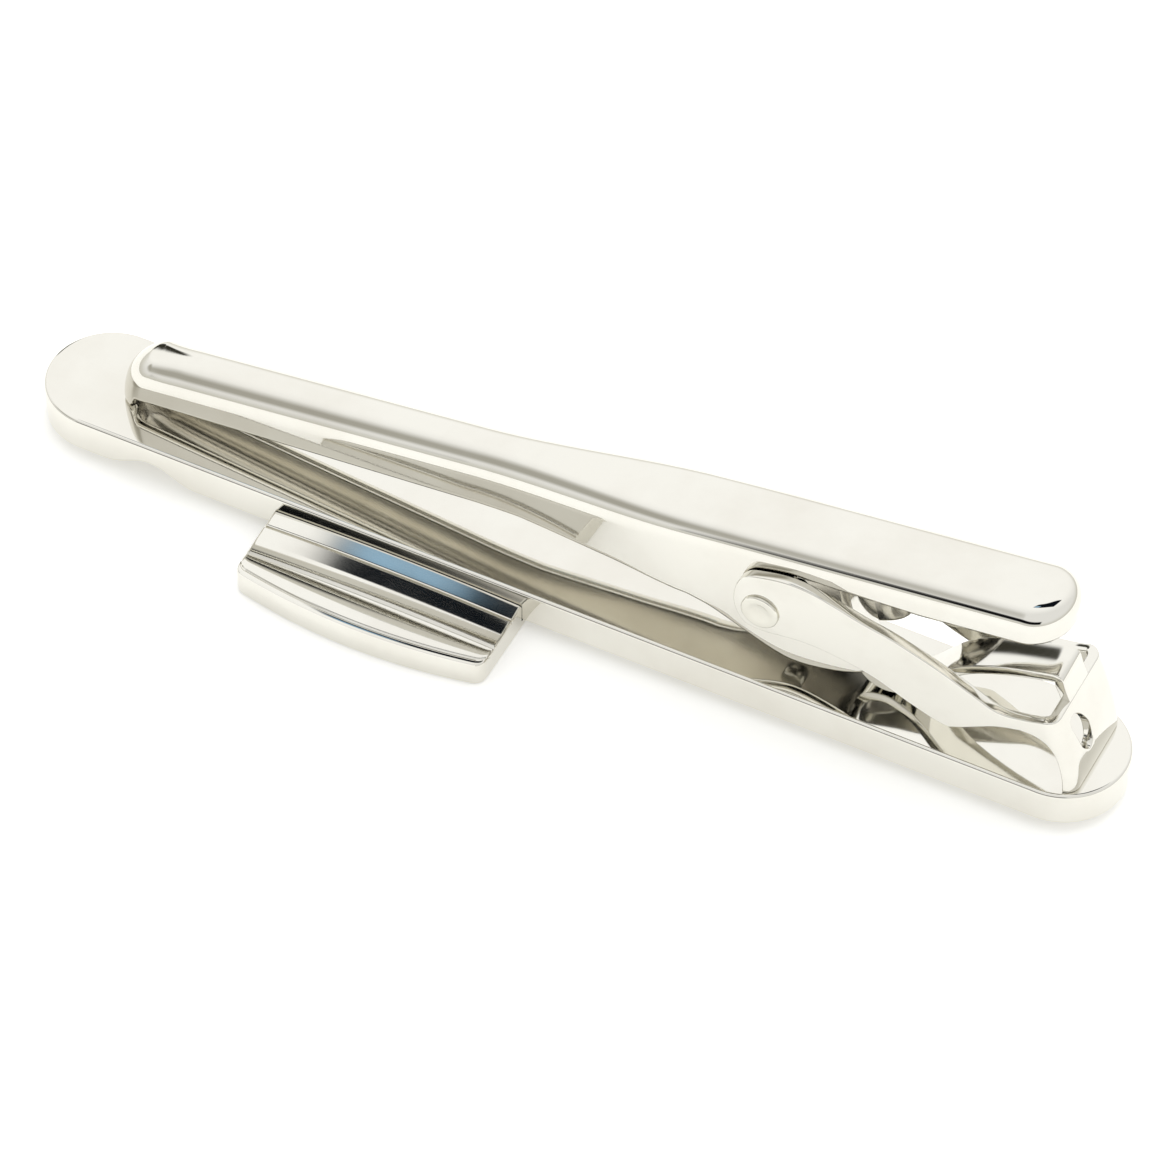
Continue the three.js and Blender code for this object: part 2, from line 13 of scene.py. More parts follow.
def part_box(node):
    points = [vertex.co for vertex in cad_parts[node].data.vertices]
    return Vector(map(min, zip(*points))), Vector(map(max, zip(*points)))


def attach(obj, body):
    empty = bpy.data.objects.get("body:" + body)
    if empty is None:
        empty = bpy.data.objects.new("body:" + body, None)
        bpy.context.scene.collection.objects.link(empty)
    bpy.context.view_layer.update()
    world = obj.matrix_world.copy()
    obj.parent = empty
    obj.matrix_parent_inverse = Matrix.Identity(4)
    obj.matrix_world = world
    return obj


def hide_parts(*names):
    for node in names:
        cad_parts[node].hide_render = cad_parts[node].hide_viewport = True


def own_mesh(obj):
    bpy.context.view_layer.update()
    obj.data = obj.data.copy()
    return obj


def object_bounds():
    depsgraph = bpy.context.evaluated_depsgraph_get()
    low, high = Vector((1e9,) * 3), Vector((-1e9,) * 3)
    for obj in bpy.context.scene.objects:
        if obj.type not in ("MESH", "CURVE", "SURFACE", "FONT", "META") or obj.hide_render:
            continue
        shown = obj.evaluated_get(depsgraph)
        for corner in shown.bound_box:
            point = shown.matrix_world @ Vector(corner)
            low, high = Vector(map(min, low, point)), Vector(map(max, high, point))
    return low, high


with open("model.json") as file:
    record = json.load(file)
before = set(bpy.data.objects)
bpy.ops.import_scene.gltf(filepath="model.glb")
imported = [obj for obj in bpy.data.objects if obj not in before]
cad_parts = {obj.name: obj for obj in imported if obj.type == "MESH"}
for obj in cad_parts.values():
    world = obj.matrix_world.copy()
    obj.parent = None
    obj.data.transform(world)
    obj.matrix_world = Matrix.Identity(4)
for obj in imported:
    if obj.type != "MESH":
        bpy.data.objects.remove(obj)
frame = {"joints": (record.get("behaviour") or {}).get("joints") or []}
cad_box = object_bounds()
MM = 0.001

bar_low, bar_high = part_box("bar")
arm_low, arm_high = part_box("clip_arm")
plaque_low, plaque_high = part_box("front_plaque")
bracket_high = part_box("pivot_bracket")[1]
rivet_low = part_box("rivet_near")[0]
back_middle = Vector(
    ((bar_low[0] + bar_high[0]) / 2, (bar_low[1] + bar_high[1]) / 2, bar_high[2])
)


def from_back(point):
    """A point of the row frame, in metres, as millimetres from the middle of the bar's back."""
    return (Vector(point) - back_middle) / MM


PIVOT = from_back(frame["joints"][0]["pos_m"])
BAR_HALF_LENGTH = (bar_high[0] - bar_low[0]) / 2 / MM
BAR_HALF_WIDTH = (bar_high[1] - bar_low[1]) / 2 / MM
BAR_THICKNESS = (bar_high[2] - bar_low[2]) / MM
JAW_X = from_back(arm_low).x
TAIL_X = from_back(arm_high).x
ARM_HALF_WIDTH = from_back(arm_high).y
BRACKET_HALF_WIDTH = from_back(bracket_high).y
BRACKET_REACH = 17.05
FOOT_X = PIVOT.x + BRACKET_REACH
SHEET = 0.55
ARM_SHEET = 0.5
SOLDER_GAP = 0.03


# ---- making meshes ----

WELD = 0.0002 * MM
FLAT_FACE_PULL = 80


def smoothstep(value, start, end):
    share = min(max((value - start) / (end - start), 0.0), 1.0)
    return share * share * (3 - 2 * share)


def mix(a, b, share):
    return a + (b - a) * share


def through(points, steps):
    """A smooth line through 2-D points, steps places for each span."""
    line = []
    last = len(points) - 1
    for i in range(last):
        p0, p1 = points[max(i - 1, 0)], points[i]
        p2, p3 = points[i + 1], points[min(i + 2, last)]
        for k in range(steps):
            t = k / steps
            line.append(
                tuple(
                    0.5
                    * (
                        2 * b
                        + (c - a) * t
                        + (2 * a - 5 * b + 4 * c - d) * t * t
                        + (3 * b - a - 3 * c + d) * t**3
                    )
                    for a, b, c, d in zip(p0, p1, p2, p3)
                )
            )
    line.append(tuple(points[last]))
    return line


def evenly(line, spacing):
    """The same line, with its places that far apart."""
    lengths = [0.0]
    for a, b in zip(line, line[1:]):
        lengths.append(lengths[-1] + math.dist(a, b))
    count = max(2, round(lengths[-1] / spacing))
    out = []
    k = 0
    for i in range(count + 1):
        goal = lengths[-1] * i / count
        while k < len(lengths) - 2 and lengths[k + 1] < goal:
            k += 1
        span = lengths[k + 1] - lengths[k]
        share = (goal - lengths[k]) / span if span else 0.0
        out.append(tuple(mix(a, b, share) for a, b in zip(line[k], line[k + 1])))
    return out


def piece(name, points, faces, finish, body, stands_for, sharp_deg=32.0, lining=None):
    """One shown piece of the clip, from points in millimetres. A lining is a second finish and the
    numbers of the faces that have it."""
    mesh = bpy.data.meshes.new(name)
    placed = [back_middle + Vector(p) * MM for p in points]
    mesh.from_pydata(placed, [], faces)
    mesh.materials.append(finish)
    if lining:
        mesh.materials.append(lining[0])
        for number in lining[1]:
            mesh.polygons[number].material_index = 1
    made = bmesh.new()
    made.from_mesh(mesh)
    bmesh.ops.remove_doubles(made, verts=made.verts, dist=WELD)
    bmesh.ops.recalc_face_normals(made, faces=made.faces)
    made.to_mesh(mesh)
    made.free()
    for face in mesh.polygons:
        face.use_smooth = True
    mesh.set_sharp_from_angle(angle=math.radians(sharp_deg))
    thing = bpy.data.objects.new(name, mesh)
    bpy.context.scene.collection.objects.link(thing)
    weigh = thing.modifiers.new("flat faces stay flat", "WEIGHTED_NORMAL")
    weigh.keep_sharp = True
    weigh.weight = FLAT_FACE_PULL
    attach(thing, body)
    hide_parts(*stands_for)
    return thing


def skin_rings(rings):
    """Quads between closed rings of the same count."""
    count = len(rings[0])
    points = [p for ring in rings for p in ring]
    faces = []
    for r in range(len(rings) - 1):
        for i in range(count):
            j = (i + 1) % count
            a, b = r * count, (r + 1) * count
            faces.append((a + i, a + j, b + j, b + i))
    return points, faces


def across_ring(base, count):
    """Faces that close a ring whose second half mirrors its first, from one end to the other."""
    faces = []
    for i in range(count // 2):
        far = base + (count - i) % count
        corners = (base + i, base + i + 1, base + count - i - 1, far)
        faces.append(tuple(dict.fromkeys(corners)))
    return faces


def end_caps(rings, count):
    """One many-sided face at each end of a row of rings."""
    last = (len(rings) - 1) * count
    return [tuple(range(count)), tuple(reversed(range(last, last + count)))]


def quarter_turn(steps):
    return [math.pi / 2 * i / steps for i in range(steps + 1)]


# ---- bar ----

BAR_EDGE = 0.2
BAR_EDGE_STEPS = 6
BAR_END_STEPS = 32
BAR_SIDE_STEPS = 240
WAIST_X = -BAR_HALF_LENGTH + 7.5
WAIST_LENGTH = 5.2
WAIST_DEPTH = 0.85


def waist(x):
    """How much the scoop across the bar's front takes off at x."""
    share = (x - WAIST_X) / WAIST_LENGTH
    return WAIST_DEPTH * (1 + math.cos(2 * math.pi * share)) / 2 if abs(share) < 0.5 else 0.0


def bar_outline():
    """One long side and two half ends of the near side, from jaw to bracket: place and way out."""
    r = BAR_HALF_WIDTH
    straight = BAR_HALF_LENGTH - r
    places = []
    for a in quarter_turn(BAR_END_STEPS):
        places.append((-straight - r * math.cos(a), -r * math.sin(a), -math.cos(a), -math.sin(a)))
    for i in range(1, BAR_SIDE_STEPS):
        places.append((mix(-straight, straight, i / BAR_SIDE_STEPS), -r, 0.0, -1.0))
    for a in quarter_turn(BAR_END_STEPS):
        places.append((straight + r * math.sin(a), -r * math.cos(a), math.sin(a), -math.cos(a)))
    return places


def make_bar(finish):
    near = bar_outline()
    loop = near + [(x, -y, nx, -ny) for x, y, nx, ny in near[-2:0:-1]]
    rows = [
        (BAR_EDGE * (1 - math.sin(a)), -BAR_EDGE * (1 - math.cos(a)))
        for a in quarter_turn(BAR_EDGE_STEPS)
    ]
    levels = [(inset, z, False) for inset, z in rows]
    levels += [(inset, -z, True) for inset, z in reversed(rows)]
    rings = []
    for inset, z, front in levels:
        ring = []
        for x, y, nx, ny in loop:
            height = -BAR_THICKNESS + waist(x) + z if front else z
            ring.append((x - nx * inset, y - ny * inset, height))
        rings.append(ring)
    points, faces = skin_rings(rings)
    count = len(loop)
    faces += across_ring(0, count) + across_ring((len(rings) - 1) * count, count)
    return piece("tie_bar", points, faces, finish, "frame", ["bar"])


# ---- plaque ----

PLAQUE_X = (from_back(plaque_low).x + from_back(plaque_high).x) / 2
PLAQUE_HALF_LENGTH = (plaque_high[0] - plaque_low[0]) / 2 / MM
PLAQUE_NEAR_Y = from_back(plaque_low).y
PLAQUE_FAR_Y = from_back(plaque_high).y
PLAQUE_FRONT_Z = from_back(plaque_low).z
PLAQUE_BACK_Z = from_back(plaque_high).z
PLAQUE_BOW = 0.85
PLAQUE_EDGE = 0.16
PLAQUE_DOME = 0.16
PLAQUE_CORNER = 0.55
PLAQUE_STEPS = 150
OUTER_RIDGE = 2.85
INNER_RIDGE = 1.05
CHANNEL_FLOOR_Z = -BAR_THICKNESS - SOLDER_GAP


def plaque_near_y(x):
    """The bowed near edge, with its two rounded corners."""
    share = abs(x - PLAQUE_X) / PLAQUE_HALF_LENGTH
    y = PLAQUE_NEAR_Y + PLAQUE_BOW * share * share
    over = abs(x - PLAQUE_X) - (PLAQUE_HALF_LENGTH - PLAQUE_CORNER)
    if over > 0:
        y += PLAQUE_CORNER - math.sqrt(max(PLAQUE_CORNER**2 - over**2, 0.0))
    return y


def plaque_section(near, far):
    """The plaque cut across: Y and Z from the front face, up the near wall, over the sloping bands
    of the back with a small ridge between each, down into the bar's channel, and out by the far
    side."""
    e, top, low = PLAQUE_EDGE, PLAQUE_BACK_Z, PLAQUE_FRONT_Z
    side = -BAR_HALF_WIDTH - SOLDER_GAP
    section = [(near + e, low), (near + e * 0.3, low + e * 0.3), (near, low + e)]
    section += [(near, top - 0.42), (near + 0.04, top - 0.33), (near + 0.14, top - 0.28)]
    section += [(near + 0.3, top - 0.27), (near + 0.38, top - 0.33), (near + 0.44, top - 0.33)]
    section += [(near + 0.5, top - 0.27), (near + 0.62, top - 0.26)]
    outer = side - OUTER_RIDGE
    section += [(outer - 0.16, top - 0.26), (outer - 0.1, top - 0.3), (outer - 0.05, top - 0.24)]
    section += [(outer, top - 0.2), (outer + 0.06, top - 0.215), (outer + 0.1, top - 0.235)]
    inner = side - INNER_RIDGE
    section += [(mix(outer, inner, 0.5), top - 0.155), (inner - 0.14, top - 0.07)]
    section += [(inner - 0.1, top - 0.1), (inner - 0.07, top - 0.2), (inner, top - 0.2)]
    section += [(inner + 0.03, top - 0.08), (inner + 0.08, top - 0.06)]
    section += [(inner + 0.13, top - 0.075), (inner + 0.16, top - 0.155)]
    section += [(side - 0.59, top - 0.1075), (side - 0.29, top - 0.0495)]
    section += [(side - 0.06, top), (side, top - 0.05)]
    section += [(side, CHANNEL_FLOOR_Z), (-side, CHANNEL_FLOOR_Z)]
    section += [(-side, top - 0.06), (-side + 0.03, top - 0.01), (-side + 0.08, top)]
    section += [(far - e, top), (far - e * 0.3, top - e * 0.3), (far, top - e)]
    section += [(far, low + e), (far - e * 0.3, low + e * 0.3), (far - e, low)]
    return section


def make_plaque(finish):
    rings = []
    mid_z = (PLAQUE_BACK_Z + PLAQUE_FRONT_Z) / 2
    for i in range(PLAQUE_STEPS + 1):
        along = -math.cos(math.pi * i / PLAQUE_STEPS)
        x = PLAQUE_X + along * PLAQUE_HALF_LENGTH
        dome = PLAQUE_DOME * along**2
        over = abs(x - PLAQUE_X) - (PLAQUE_HALF_LENGTH - PLAQUE_EDGE)
        tuck = 0.0
        if over > 0:
            tuck = PLAQUE_EDGE - math.sqrt(max(PLAQUE_EDGE**2 - over**2, 0.0))
        ring = []
        for y, z in plaque_section(plaque_near_y(x), PLAQUE_FAR_Y):
            if z == CHANNEL_FLOOR_Z:
                ring.append((x, y, z))
            else:
                ring.append((x, y, z + tuck if z < mid_z else z - tuck - dome))
        rings.append(ring)
    points, faces = skin_rings(rings)
    faces += end_caps(rings, len(rings[0]))
    return piece(
        "bowed_plaque", points, faces, finish, "frame", ["front_plaque"], 38.0
    )


# ---- folded sheet pieces ----


def outward(loop):
    """For each place of an anticlockwise loop, the way out of the material."""
    count = len(loop)
    ways = []
    for i in range(count):
        ax, ay = loop[(i - 1) % count]
        bx, by = loop[(i + 1) % count]
        length = math.hypot(bx - ax, by - ay) or 1.0
        ways.append(((by - ay) / length, -(bx - ax) / length))
    return ways


def inside(point, loop):
    """Whether the point lies in the loop, by the sides that a line from it crosses."""
    x, y = point
    found = False
    for (ax, ay), (bx, by) in zip(loop, loop[1:] + loop[:1]):
        if (ay > y) != (by > y) and x < (bx - ax) * (y - ay) / (by - ay) + ax:
            found = not found
    return found


def wound(loop, way):
    """The loop, running anticlockwise where way is 1 and clockwise where it is -1."""
    area = sum(a[0] * b[1] - b[0] * a[1] for a, b in zip(loop, loop[1:] + loop[:1]))
    return loop if area * way > 0 else loop[::-1]


SHEET_EDGE_STEPS = 4
CLEAR_OF_RIM = 0.45
CUT_TOLERANCE = 1e-5


def sheet_mesh(loops, fold, thickness, edge, grid):
    """A sheet cut to loops (the outline anticlockwise, holes clockwise) and then folded. fold(s, z,
    depth) says where a place of the flat sheet goes, depth millimetres under the skin."""
    inner_loops = []
    for loop in loops:
        inner = [(x - wx * edge, y - wy * edge) for (x, y), (wx, wy) in zip(loop, outward(loop))]
        inner_loops.append(inner)

    def in_sheet(point):
        outline, *holes = inner_loops
        return inside(point, outline) and not any(inside(point, hole) for hole in holes)

    flat = []
    edges = []
    for loop in inner_loops:
        base = len(flat)
        flat += [Vector(p) for p in loop]
        edges += [(base + i, base + (i + 1) % len(loop)) for i in range(len(loop))]
    rim = list(flat)
    xs = [p.x for p in rim]
    ys = [p.y for p in rim]
    clear = grid * CLEAR_OF_RIM
    x = min(xs) + grid / 2
    while x < max(xs):
        y = min(ys) + grid / 2
        while y < max(ys):
            if in_sheet((x, y)):
                if min((p.x - x) ** 2 + (p.y - y) ** 2 for p in rim) > clear**2:
                    flat.append(Vector((x, y)))
            y += grid
        x += grid
    places, _, triangles, _, _, _ = delaunay_2d_cdt(flat, edges, [], 0, CUT_TOLERANCE)
    cap = []
    for tri in triangles:
        middle = (sum(places[i].x for i in tri) / 3, sum(places[i].y for i in tri) / 3)
        if in_sheet(middle):
            cap.append(tuple(tri))
    points = [fold(p.x, p.y, 0.0) for p in places]
    skin = len(points)
    points += [fold(p.x, p.y, thickness) for p in places]
    faces = list(cap) + [tuple(skin + i for i in reversed(tri)) for tri in cap]
    for loop, inner in zip(loops, inner_loops):
        ways = outward(loop)
        turn = quarter_turn(SHEET_EDGE_STEPS)
        rows = [(edge * math.sin(a), edge * (1 - math.cos(a))) for a in turn]
        rows += [(out, thickness - depth) for out, depth in reversed(rows)]
        base = len(points)
        count = len(loop)
        for out, depth in rows:
            for (ix, iy), (wx, wy) in zip(inner, ways):
                points.append(fold(ix + wx * out, iy + wy * out, depth))
        for r in range(len(rows) - 1):
            for i in range(count):
                j = (i + 1) % count
                a, b = base + r * count, base + (r + 1) * count
                faces.append((a + i, a + j, b + j, b + i))
    return points, faces


# ---- bracket ----

WALL_HEIGHT = 4.45
BRACKET_CORNER = 0.75
SHOULDER_HEIGHT = 5.95
TONGUE_HALF_WIDTH = 1.05
FOOT_Z = SOLDER_GAP
# The rear wall curves forward: the first is its slope high up, the second how late the curve comes
LEAN = 0.5
LEAN_FROM = 3.0
OUTLINE_SPACING = 0.11
SHEET_EDGE = 0.07
BRACKET_GRID = 0.24
LOBE_RADIUS = 1.45


def lean_at(z):
    """How far the rear wall has curved forward at height z."""
    up = max(z, 0.0)
    return LEAN * up * up / (up + LEAN_FROM)


FLAT_TO_CORNER = BRACKET_HALF_WIDTH - BRACKET_CORNER
CORNER_ARC = BRACKET_CORNER * math.pi / 2


def fold_bracket(s, z, depth):
    """s runs round the bracket from the middle of its rear wall, positive towards the near side."""
    side = 1.0 if s >= 0 else -1.0
    run = abs(s)
    if run < FLAT_TO_CORNER:
        x, y, nx, ny = FOOT_X, run, 1.0, 0.0
    elif run < FLAT_TO_CORNER + CORNER_ARC:
        a = (run - FLAT_TO_CORNER) / BRACKET_CORNER
        nx, ny = math.cos(a), math.sin(a)
        x = FOOT_X - BRACKET_CORNER + BRACKET_CORNER * nx
        y = FLAT_TO_CORNER + BRACKET_CORNER * ny
    else:
        x = FOOT_X - BRACKET_CORNER - (run - FLAT_TO_CORNER - CORNER_ARC)
        y, nx, ny = BRACKET_HALF_WIDTH, 0.0, 1.0
    return (x - nx * depth - lean_at(z), -side * (y - ny * depth), z)


def along_sheet(x, z):
    """Where a place on the bracket's side, given as it stands, is on the flat sheet."""
    return (FLAT_TO_CORNER + CORNER_ARC + FOOT_X - BRACKET_CORNER - lean_at(z) - x, z)


def bracket_half():
    """The near half of the flat sheet's outline, from the wall's foot up to the wall's top."""
    arch_z = 0.74 * WALL_HEIGHT
    shoulder_z = 0.4 * WALL_HEIGHT

    def in_wall(z):
        return FOOT_X - SHEET - 0.1 - lean_at(z)

    def along_arm(places):
        """Shares of the arm's reach and heights over the pivot, as places on the bracket's side."""
        return [(PIVOT.x + u * BRACKET_REACH, PIVOT.z + v) for u, v in places]

    arch = [(in_wall(FOOT_Z), FOOT_Z), (in_wall(0.9) + 0.02, 0.9)]
    arch += [(in_wall(shoulder_z) + 0.03, shoulder_z), (in_wall(2.4) - 0.05, 2.45)]
    arch += [(in_wall(2.9) - 0.32, 2.98), (in_wall(3.2) - 0.85, 3.26)]
    arch += [(in_wall(arch_z) - 1.5, arch_z)]
    lower = [(0.81, -1.5), (0.739, -1.9), (0.628, -2.95), (0.581, -3.13), (0.481, -2.55)]
    lower += [(0.34, -1.56), (0.161, -1.09)]
    lobe = [(0.04, -0.95), (-0.66, -0.76), (-1.0, 0.0), (-0.94, 0.83), (-0.62, 1.38), (-0.07, 1.62)]
    lobe = [(PIVOT.x + u * LOBE_RADIUS, PIVOT.z + v * LOBE_RADIUS) for u, v in lobe]
    top = [(0.076, 2.65), (0.152, 2.6), (0.235, 2.25), (0.317, 1.83), (0.416, 1.45), (0.557, 0.6)]
    top += [(0.655, -0.15), (0.745, -0.78)]
    dip = [(PIVOT.x + 0.83 * BRACKET_REACH, 0.93 * WALL_HEIGHT)]
    crest = [(FOOT_X - lean_at(WALL_HEIGHT) - SHEET, WALL_HEIGHT)]
    corners = arch + along_arm(lower) + lobe + along_arm(top) + dip + crest
    side = evenly(through(corners, 12), OUTLINE_SPACING)
    return [along_sheet(x, z) for x, z in side]


HOLE_MIDDLE = (0.9, 2.6)
HOLE_SIZE = (1.5, 2.5)
HOLE_SHARES = [(-0.5, 0.27), (-0.45, 0.44), (-0.2, 0.48), (0.1, 0.37), (0.34, 0.17), (0.5, -0.08)]
HOLE_SHARES += [(0.42, -0.4), (0.08, -0.5), (-0.31, -0.22)]


def wall_hole():
    """The slanted hole in the rear wall, as a closed smooth line on the flat sheet."""
    (s, z), (wide, high), steps = HOLE_MIDDLE, HOLE_SIZE, 8
    ring = [(s - u * wide, z + v * high) for u, v in HOLE_SHARES]
    looped = ring[-2:] + ring + ring[:2]
    line = through(looped, steps)[2 * steps : -2 * steps - 1]
    return evenly(line + [line[0]], OUTLINE_SPACING)[:-1]


def make_bracket(finish):
    half, foot_steps, crest_steps = bracket_half(), 40, 26
    near = [(half[0][0] * i / foot_steps, FOOT_Z) for i in range(foot_steps)] + half
    near += [
        (half[-1][0] * (1 - i / crest_steps), WALL_HEIGHT) for i in range(1, crest_steps)
    ]
    far = [(-s, z) for s, z in reversed(near) if s > 0]
    outline = near + [(0.0, WALL_HEIGHT)] + far
    loops = [wound(outline, 1), wound(wall_hole(), -1)]
    points, faces = sheet_mesh(loops, fold_bracket, SHEET, SHEET_EDGE, BRACKET_GRID)
    return piece(
        "folded_bracket", points, faces, finish, "frame", ["pivot_bracket"], 40.0
    )


# ---- tongue ----

CROWN_ABOVE_PIVOT = 3.86
ARM_SLOPE = 0.144
CLEAR_OF_BAR = 0.15
CLEAR_OF_ARM = 0.12
# How often the bent line is evened out
BEND_PASSES = 14


def crown(x):
    """The height of the arm's top at x."""
    return PIVOT.z + CROWN_ABOVE_PIVOT + ARM_SLOPE * (x - PIVOT.x)


def make_tongue(finish):
    wall_x = FOOT_X - SHEET / 2
    root = WALL_HEIGHT + 0.005
    low = CLEAR_OF_BAR + SHEET / 2
    arch = crown(PIVOT.x + 3.4) - ARM_SHEET - SHEET / 2 - CLEAR_OF_ARM
    rise = 0.91 * SHOULDER_HEIGHT
    line = [(wall_x - lean_at(root), root), (wall_x - lean_at(4.95), 4.95)]
    line += [(wall_x - lean_at(rise) - 0.02, rise)]
    shares = [(0.115, 0.963 * SHOULDER_HEIGHT), (0.168, 0.924 * SHOULDER_HEIGHT)]
    shares += [(0.306, 0.79 * SHOULDER_HEIGHT), (0.426, 0.597 * SHOULDER_HEIGHT)]
    shares += [(0.5285, 0.26 * SHOULDER_HEIGHT), (0.589, low + 0.35), (0.649, low)]
    shares += [(0.715, low + 0.7)]
    line += [(FOOT_X - u * BRACKET_REACH, z) for u, z in shares]
    line += [(PIVOT.x + 4.1, PIVOT.z - 1), (PIVOT.x + 3.5, PIVOT.z + 1.6)]
    line += [(PIVOT.x + 3.1, arch - 0.5), (PIVOT.x + 2.5, arch - 0.05), (PIVOT.x + 1.8, arch - 0.5)]
    path = evenly(through(line, 16), OUTLINE_SPACING)
    for _ in range(BEND_PASSES):
        middle = []
        for (ax, az), (bx, bz), (cx, cz) in zip(path, path[1:], path[2:]):
            middle.append(((ax + 2 * bx + cx) / 4, (az + 2 * bz + cz) / 4))
        path = [path[0]] + middle + [path[-1]]
    section = []
    for cx, cz, start in ((1, 1, 0.0), (-1, 1, 0.5), (-1, -1, 1.0), (1, -1, 1.5)):
        for k in range(5):
            a = math.pi * (start + 0.5 * k / 4)
            across = cx * (TONGUE_HALF_WIDTH - SHEET_EDGE) + SHEET_EDGE * math.cos(a)
            section.append((across, cz * (SHEET / 2 - SHEET_EDGE) + SHEET_EDGE * math.sin(a)))
    rings = []
    for i, (x, z) in enumerate(path):
        ax, az = path[max(i - 1, 0)]
        bx, bz = path[min(i + 1, len(path) - 1)]
        length = math.hypot(bx - ax, bz - az)
        nx, nz = (bz - az) / length, -(bx - ax) / length
        settle = 1 - smoothstep(i * OUTLINE_SPACING, 0.1, 1.0)
        nx, nz = mix(nx, 1.0, settle), mix(nz, 0.0, settle)
        rings.append([(x + nx * v, -u, z + nz * v) for u, v in section])
    points, faces = skin_rings(rings)
    faces += end_caps(rings, len(section))
    tongue = piece(
        "bent_tongue", points, faces, finish, "frame", ["spring_tongue"], 40.0
    )
    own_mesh(tongue)


# ---- arm ----

JAW_HALF_WIDTH = 1.55
JAW_TOP_RADIUS = 1.4
TAIL_TOP_RADIUS = 1.08
JAW_END = 1.5
TAIL_END = 2.0
FLARE_FROM = PIVOT.x - 17.0
FLARE_TO = PIVOT.x - 4.6
LIP_LENGTH = 0.75
EAR_FRONT = -4.3
EAR_BACK = 1.35
EAR_STEP = 0.1
JAW_EDGE_HEIGHT = 0.74
EDGE_SLOPE = 0.103
WALL_TUCK = 0.07
JAW_SET_BACK = 0.9
TOOTH_SPACING = 0.62
TOOTH_DEPTH = 0.3
TOOTHED_HALF_WIDTH = 0.95
RIM_ROLL = 0.2


def arm_half_width(x):
    """Half the channel's width, which flares from the jaw to the ears."""
    return mix(JAW_HALF_WIDTH, ARM_HALF_WIDTH, smoothstep(x, FLARE_FROM, FLARE_TO))


def top_radius(x):
    """The outer radius of the bend between the channel's top and its walls."""
    return mix(JAW_TOP_RADIUS, TAIL_TOP_RADIUS, smoothstep(x, FLARE_FROM, PIVOT.x))


def open_edge(x):
    """The height of the channel's open edge at x, ears left out."""
    level = min(JAW_EDGE_HEIGHT + EDGE_SLOPE * (x - JAW_X), PIVOT.z - 1.63)
    lip = 1 - smoothstep(x, JAW_X + LIP_LENGTH, JAW_X + LIP_LENGTH + 0.4)
    jaw = mix(level, 0.05, lip)
    dip = max(0.0, 0.06 * (PIVOT.x + 8 - x))
    tail = crown(x) - 1.95 + dip
    return mix(jaw, tail, smoothstep(x, PIVOT.x - 3.2, PIVOT.x + 0.9))


def wall_tuck(x):
    """How far the channel's walls lean in for each millimetre below the shoulder."""
    return WALL_TUCK * (1 - smoothstep(x, PIVOT.x - 9.0, PIVOT.x - 4.5))


def set_back(x, z):
    """How far the jaw's rounded end stands back at height z."""
    up = min(max(z / crown(JAW_X), 0.0), 1.0)
    return JAW_SET_BACK * up * up * (1 - smoothstep(x, JAW_X, JAW_X + 4.0))


def ear_line():
    """The ear's edge, from where it leaves the wall ahead of the pivot to where it is back."""
    top = CROWN_ABOVE_PIVOT - 1.2
    line = [(EAR_FRONT, open_edge(PIVOT.x + EAR_FRONT) - PIVOT.z), (-3.2, -1.9), (-2.0, -2.45)]
    line += [(0.5, -3.45), (2.0, -3.63), (4.1, -3.15), (5.5, -2.4), (6.1, -1.35), (5.4, -0.05)]
    line += [(3.2, 1.15), (EAR_BACK, top - 0.45)]
    return [(PIVOT.x + x, PIVOT.z + z) for x, z in evenly(through(line, 12), 0.02)]


def arm_columns():
    """Where the near side's columns stand at the shoulder, from the tail's tip to the jaw's."""
    quarter, columns = 22, []
    for i in range(quarter):
        a = math.pi / 2 * i / quarter
        x = TAIL_X - TAIL_END * (1 - math.cos(a))
        columns.append((x, -arm_half_width(x) * math.sin(a)))
    start, stop = TAIL_X - TAIL_END, JAW_X + JAW_END
    ear_from, ear_to = PIVOT.x + EAR_BACK, PIVOT.x + EAR_FRONT
    runs = [(start, ear_from, 70), (ear_from, ear_to, 110), (ear_to, stop, 130)]
    for a, b, steps in runs:
        for i in range(steps):
            x = mix(a, b, i / steps)
            columns.append((x, -arm_half_width(x)))
    for i in range(quarter, -1, -1):
        a = math.pi / 2 * i / quarter
        x = JAW_X + JAW_END * (1 - math.cos(a))
        columns.append((x, -arm_half_width(x) * math.sin(a)))
    return columns


def teeth(y):
    """Three small notches in the jaw's lip."""
    across = (y / TOOTH_SPACING + 0.5) % 1.0 - 0.5
    if abs(y) >= TOOTHED_HALF_WIDTH:
        return 0.0
    return TOOTH_DEPTH * max(0.0, 1 - abs(across) / 0.32)


